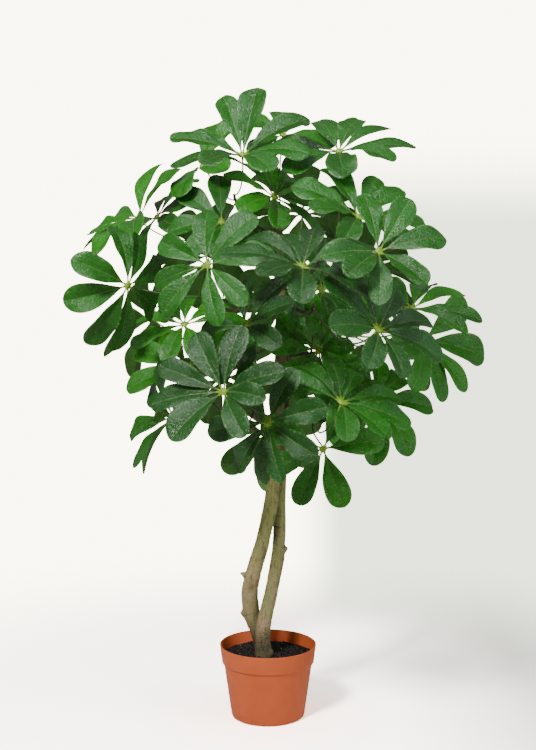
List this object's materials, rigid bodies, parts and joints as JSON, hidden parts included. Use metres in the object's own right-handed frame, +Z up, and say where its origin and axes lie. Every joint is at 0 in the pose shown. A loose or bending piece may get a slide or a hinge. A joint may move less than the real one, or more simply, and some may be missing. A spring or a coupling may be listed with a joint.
{
  "type": "potted umbrella plant",
  "caption": "Potted umbrella plant: two crossing trunks with a round crown of palmate leaves, growing in soil in a plain tapered pot with a stepped collar.",
  "frame": {"origin": "centre of the pot's foot, on the surface that it stands on", "axes": "+Z up through the pot to the crown, -Y towards the front of the plant, +X to its right"},
  "size_m": [0.6625, 0.7556, 1.0306],
  "materials": {
    "pot_plastic": "terracotta-coloured moulded plastic, satin",
    "soil": "damp dark potting mix, granular and matte",
    "bark": "young grey-green bark, matte",
    "twig": "thin dark twigs, matte",
    "leaf_dark": "thick dark green leaf, waxy sheen",
    "leaf_middle": "thick green leaf, waxy sheen",
    "leaf_bright": "thick yellow-green leaf, waxy sheen"
  },
  "bodies": {
    "root": {"pot": "pot_plastic", "soil": "soil", "trunk_left": "bark", "trunk_right": "bark", "branch_01": "twig", "branch_02": "twig", "branch_03": "twig", "branch_04": "twig", "branch_05": "twig", "branch_06": "twig", "branch_07": "twig", "branch_08": "twig", "branch_09": "twig", "branch_10": "twig", "branch_11": "twig", "branch_12": "twig", "branch_13": "twig", "leaf_01": "leaf_middle", "leaf_02": "leaf_bright", "leaf_03": "leaf_middle", "leaf_04": "leaf_middle", "leaf_05": "leaf_bright", "leaf_06": "leaf_bright", "leaf_07": "leaf_middle", "leaf_08": "leaf_middle", "leaf_09": "leaf_dark", "leaf_10": "leaf_middle", "leaf_11": "leaf_dark", "leaf_12": "leaf_bright", "leaf_13": "leaf_bright", "leaf_14": "leaf_bright", "leaf_15": "leaf_dark", "leaf_16": "leaf_bright", "leaf_17": "leaf_dark", "leaf_18": "leaf_dark", "leaf_19": "leaf_middle", "leaf_20": "leaf_middle", "leaf_21": "leaf_middle", "leaf_22": "leaf_middle", "leaf_23": "leaf_bright", "leaf_24": "leaf_bright", "leaf_25": "leaf_middle", "leaf_26": "leaf_middle", "leaf_27": "leaf_bright", "leaf_28": "leaf_middle", "leaf_29": "leaf_middle", "leaf_30": "leaf_middle", "leaf_31": "leaf_middle", "leaf_32": "leaf_dark", "leaf_33": "leaf_middle", "leaf_34": "leaf_middle", "leaf_35": "leaf_middle", "leaf_36": "leaf_dark"}
  },
  "joints": []
}
